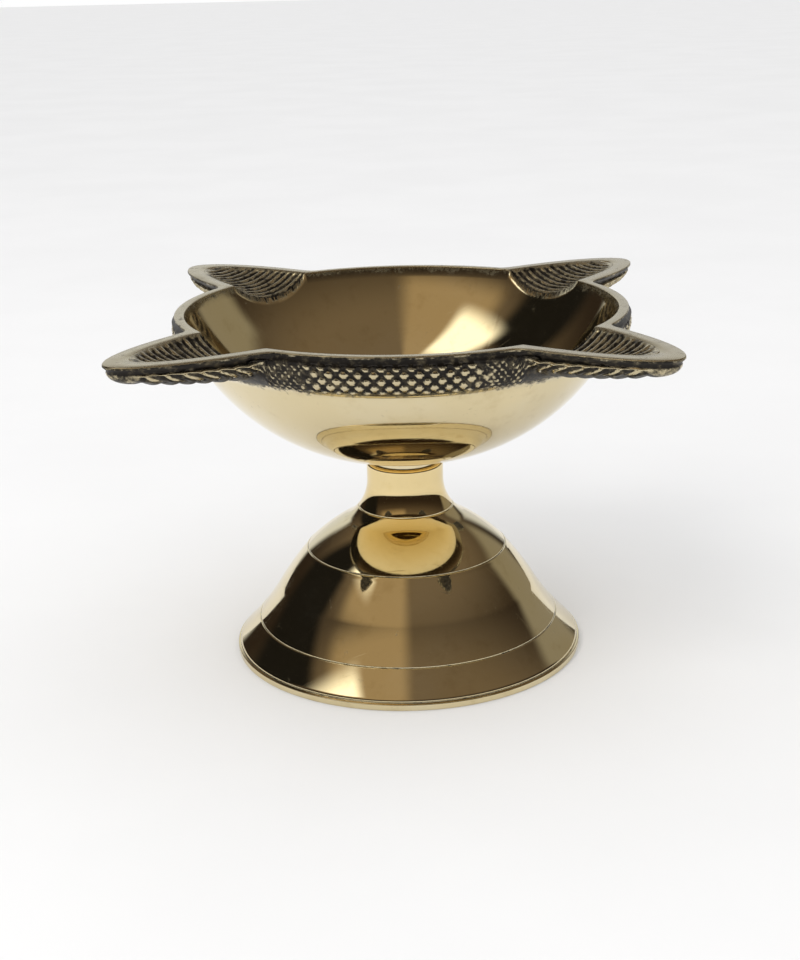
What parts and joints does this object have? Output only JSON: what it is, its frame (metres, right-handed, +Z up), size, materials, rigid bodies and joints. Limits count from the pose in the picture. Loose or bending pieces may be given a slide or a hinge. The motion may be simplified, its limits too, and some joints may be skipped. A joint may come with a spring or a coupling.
{
  "type": "four-wick diya oil lamp",
  "caption": "Small brass standing oil lamp: a round bowl with ribbed leaf-shaped wick spouts, screwed on to a hollow bell-shaped pedestal.",
  "frame": {"origin": "centre of the pedestal's foot, on the surface that the lamp stands on", "axes": "+Z up along the lamp's axis; the four spouts point along the diagonals between +X, +Y, -X and -Y, and the gap between two of them faces the front, -Y"},
  "size_m": [0.0768, 0.0768, 0.0546],
  "materials": {
    "pedestal_brass": "turned and polished, lacquered",
    "ring_brass": "turned, bright",
    "stud_brass": "threaded, plain",
    "bowl_brass": "polished, with dark patina in the knurled band and the ribs"
  },
  "bodies": {
    "pedestal": {"pedestal": "pedestal_brass"},
    "seat_ring": {"seat_ring": "ring_brass"},
    "bowl": {"bowl": "bowl_brass", "bowl_stud": "stud_brass"}
  },
  "joints": [
    {"name": "bowl_rise", "type": "slide", "parent": "pedestal", "child": "seat_ring", "axis": [0, 0, 1], "range_m": [0, 0.00815]},
    {"name": "bowl_turn", "type": "hinge", "parent": "seat_ring", "child": "bowl", "pos_m": [0, 0, 0.0307], "axis": [0, 0, 1], "range_deg": [0, 2340]}
  ],
  "couplings": [
    {"joint": "bowl_rise", "follows": "bowl_turn", "m_per_rad": 0.00019894}
  ]
}
